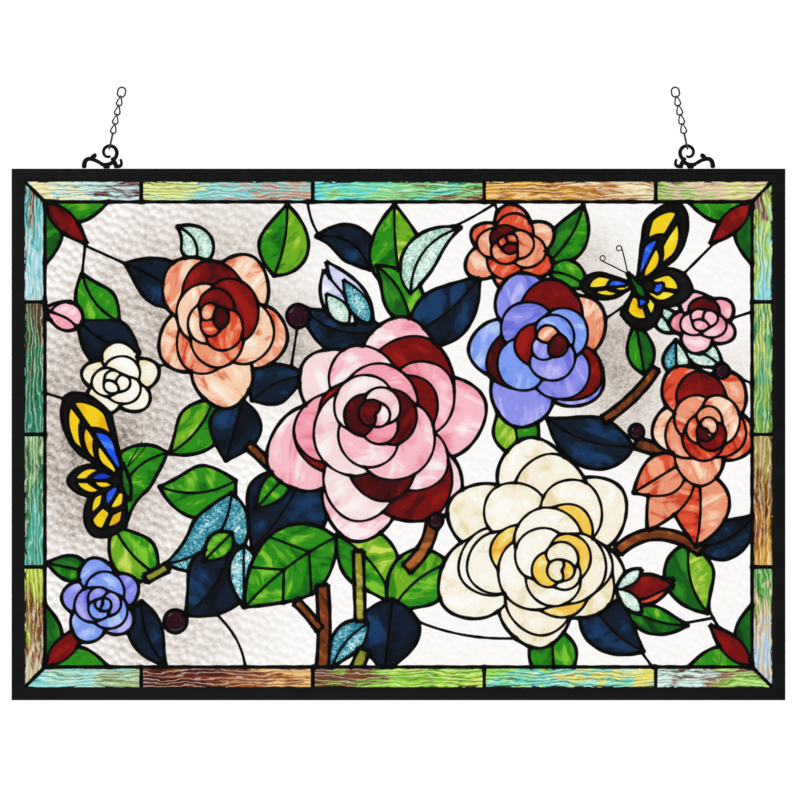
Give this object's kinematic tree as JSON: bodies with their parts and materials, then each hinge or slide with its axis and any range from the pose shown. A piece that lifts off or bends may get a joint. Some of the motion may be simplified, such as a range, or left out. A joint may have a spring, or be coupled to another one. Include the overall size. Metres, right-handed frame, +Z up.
{
  "type": "stained glass window panel",
  "caption": "Rectangular leaded glass panel with roses, leaves and butterflies, in a black channel frame, hung from two short chains on scroll hooks.",
  "frame": {"origin": "midway between the two points where the chains' end links bear on their nails", "axes": "+X along the panel, +Y out of its back, +Z up"},
  "size_m": [0.813, 0.0088, 0.6454],
  "materials": {
    "frame_metal": "satin black",
    "solder": "black patina",
    "chain_steel": "blackened",
    "border_glass": "rippled, streaky",
    "clear_glass": "hammered, clear",
    "pink_glass": "opalescent",
    "cream_glass": "opalescent",
    "coral_glass": "opalescent",
    "scarlet_glass": "opalescent",
    "red_glass": "opalescent",
    "lilac_glass": "opalescent",
    "blue_glass": "opalescent",
    "white_glass": "opalescent",
    "ruby_glass": "cathedral",
    "opal_glass": "opalescent",
    "green_glass": "streaky",
    "lime_glass": "streaky",
    "navy_glass": "cathedral",
    "aqua_glass": "granite texture",
    "yellow_glass": "cathedral",
    "jewel_glass": "pressed, domed"
  },
  "bodies": {
    "root": {"frame_top": "frame_metal", "frame_bottom": "frame_metal", "frame_left": "frame_metal", "frame_right": "frame_metal", "hook_left": "frame_metal", "hook_right": "frame_metal", "chain_left": "chain_steel", "chain_right": "chain_steel", "end_link_left": "chain_steel", "end_link_right": "chain_steel", "solder_lines": "solder", "border_top": "border_glass", "border_bottom": "border_glass", "border_left": "border_glass", "border_right": "border_glass", "clear_glass_1": "clear_glass", "clear_glass_2": "clear_glass", "clear_glass_3": "clear_glass", "clear_glass_4": "clear_glass", "clear_glass_5": "clear_glass", "clear_glass_6": "clear_glass", "clear_glass_7": "clear_glass", "clear_glass_8": "clear_glass", "clear_glass_9": "clear_glass", "clear_glass_10": "clear_glass", "clear_glass_11": "clear_glass", "clear_glass_12": "clear_glass", "clear_glass_13": "clear_glass", "clear_glass_14": "clear_glass", "leaf_navy_upper_left": "navy_glass", "leaf_navy_top": "navy_glass", "leaf_navy_right": "navy_glass", "leaf_navy_middle": "navy_glass", "leaf_navy_lower_left": "navy_glass", "leaf_green_upper_left": "green_glass", "leaf_green_top": "green_glass", "leaf_green_left": "green_glass", "leaf_green_far_left": "green_glass", "leaf_green_low": "green_glass", "leaf_green_lower_right": "green_glass", "leaf_lime_middle": "lime_glass", "leaf_lime_left": "lime_glass", "leaf_lime_low": "lime_glass", "leaf_aqua_left": "aqua_glass", "rose_red": "red_glass", "rose_lilac": "lilac_glass", "rose_coral": "coral_glass", "rose_white": "white_glass", "rose_blush": "pink_glass", "rose_scarlet": "scarlet_glass", "rose_pink": "pink_glass", "rose_cream": "cream_glass", "rose_blue": "blue_glass", "bud_pink": "pink_glass", "bud_ruby": "ruby_glass", "bud_opal": "opal_glass", "jewel_upper": "jewel_glass", "jewel_lower": "jewel_glass", "butterfly_right": "yellow_glass", "butterfly_left": "yellow_glass"}
  },
  "joints": []
}
